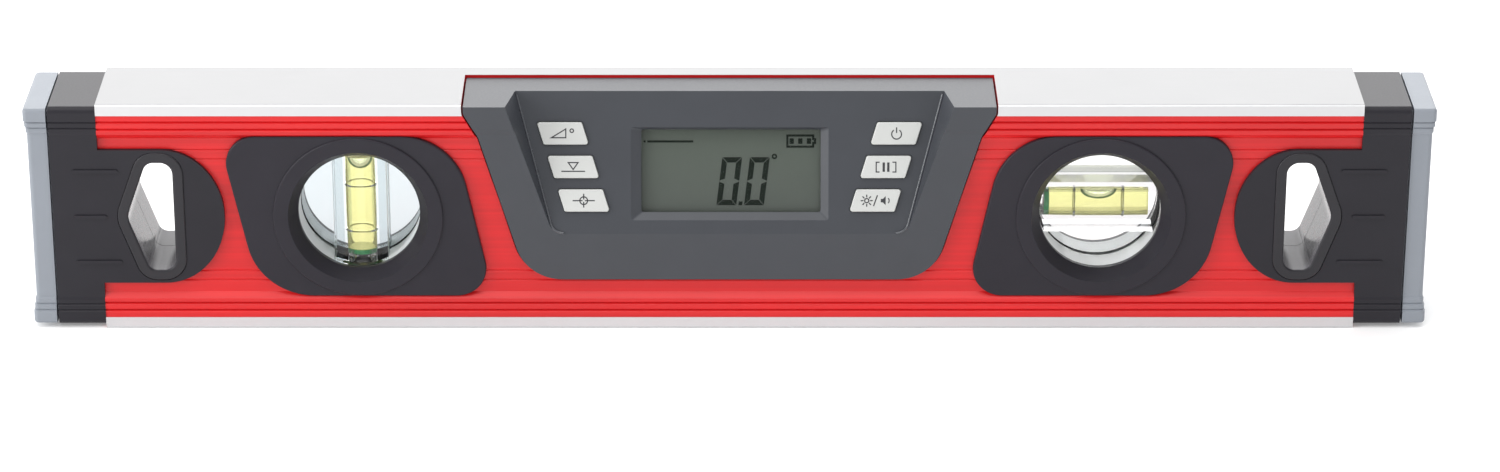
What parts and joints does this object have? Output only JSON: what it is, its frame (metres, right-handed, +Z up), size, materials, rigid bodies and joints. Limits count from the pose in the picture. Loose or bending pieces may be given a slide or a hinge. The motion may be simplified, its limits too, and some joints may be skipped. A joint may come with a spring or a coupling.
{
  "type": "digital spirit level",
  "caption": "Box-section spirit level with a tilted digital angle display and buttons let into its middle, a vial in a bezel on each side, hand holes and bumpers at the ends.",
  "frame": {"origin": "middle of the lower measuring face", "axes": "+X along the level to the right as the display is read, +Y to the back, +Z up"},
  "size_m": [0.4, 0.0306, 0.069],
  "materials": {
    "red_coat": "red powder coat on extruded aluminium, milled bare on the measuring faces",
    "grip_black": "moulded, fine grain",
    "bumper_grey": "soft moulded, matt",
    "bezel_black": "moulded, satin",
    "housing_grey": "moulded, fine grain",
    "clear_block": "polished clear acrylic",
    "vial_fluid": "clear yellow-green liquid",
    "vial_air": "air in the liquid",
    "line_black": "printed band",
    "plug_green": "sealed plug seen through the liquid",
    "button_white": "moulded, satin",
    "display_clear": "polished clear sheet",
    "display_grey": "liquid crystal display",
    "backlight_white": "light guide",
    "strip_rubber": "conductive and plain layers",
    "board_green": "solder mask",
    "chip_black": "moulded package",
    "screw_steel": "zinc plated",
    "case_black": "moulded",
    "seal_rubber": "soft",
    "cell_wrap": "wrapped cell",
    "contact_metal": "nickel plated spring steel"
  },
  "bodies": {
    "level": {"beam": "red_coat", "left_end_cap": "grip_black", "left_bumper": "bumper_grey", "left_cap_screws": "screw_steel", "left_liner_front": "grip_black", "left_liner_rear": "grip_black", "left_bezel_front": "bezel_black", "left_bezel_rear": "bezel_black", "left_bezel_screws": "screw_steel", "left_vial_block": "clear_block", "left_vial_fluid": "vial_fluid", "left_vial_lines": "line_black", "left_vial_plug": "plug_green", "right_end_cap": "grip_black", "right_bumper": "bumper_grey", "right_cap_screws": "screw_steel", "right_liner_front": "grip_black", "right_liner_rear": "grip_black", "right_bezel_front": "bezel_black", "right_bezel_rear": "bezel_black", "right_bezel_screws": "screw_steel", "right_vial_block": "clear_block", "right_vial_fluid": "vial_fluid", "right_vial_lines": "line_black", "right_vial_plug": "plug_green", "display_housing": "housing_grey", "display_window": "display_clear", "display_panel": "display_grey", "backlight_panel": "backlight_white", "contact_strips": "strip_rubber", "main_board": "board_green", "board_screws": "screw_steel", "button_switches": "chip_black", "processor": "chip_black", "tilt_sensor": "chip_black", "buzzer": "chip_black", "rear_case": "case_black", "case_gasket": "seal_rubber", "case_screws": "screw_steel", "cells": "cell_wrap", "battery_contacts": "contact_metal"},
    "units_button": {"units_button": "button_white"},
    "reference_button": {"reference_button": "button_white"},
    "calibrate_button": {"calibrate_button": "button_white"},
    "power_button": {"power_button": "button_white"},
    "hold_button": {"hold_button": "button_white"},
    "light_button": {"light_button": "button_white"},
    "left_bubble": {"left_bubble": "vial_air"},
    "right_bubble": {"right_bubble": "vial_air"},
    "battery_door": {"battery_door": "case_black", "battery_door_seal": "seal_rubber", "battery_door_screws": "screw_steel"}
  },
  "joints": [
    {"name": "units_button_press", "type": "slide", "parent": "level", "child": "units_button", "axis": [0, 0.9537, -0.3007], "range_m": [0, 0.0008], "stiffness_N_per_m": 1200},
    {"name": "reference_button_press", "type": "slide", "parent": "level", "child": "reference_button", "axis": [0, 0.9537, -0.3007], "range_m": [0, 0.0008], "stiffness_N_per_m": 1200},
    {"name": "calibrate_button_press", "type": "slide", "parent": "level", "child": "calibrate_button", "axis": [0, 0.9537, -0.3007], "range_m": [0, 0.0008], "stiffness_N_per_m": 1200},
    {"name": "power_button_press", "type": "slide", "parent": "level", "child": "power_button", "axis": [0, 0.9537, -0.3007], "range_m": [0, 0.0008], "stiffness_N_per_m": 1200},
    {"name": "hold_button_press", "type": "slide", "parent": "level", "child": "hold_button", "axis": [0, 0.9537, -0.3007], "range_m": [0, 0.0008], "stiffness_N_per_m": 1200},
    {"name": "light_button_press", "type": "slide", "parent": "level", "child": "light_button", "axis": [0, 0.9537, -0.3007], "range_m": [0, 0.0008], "stiffness_N_per_m": 1200},
    {"name": "left_bubble_run", "type": "slide", "parent": "level", "child": "left_bubble", "axis": [0, 0, 1], "range_m": [-0.024, 0], "stiffness_N_per_m": 0.6, "springref_m": 0.02, "deforming": ["left_vial_fluid"]},
    {"name": "right_bubble_run", "type": "slide", "parent": "level", "child": "right_bubble", "axis": [1, 0, 0], "range_m": [-0.0089, 0.0089], "deforming": ["right_vial_fluid"]},
    {"name": "battery_door_off", "type": "slide", "parent": "level", "child": "battery_door", "axis": [0, 1, 0], "range_m": [0, 0.03]}
  ]
}
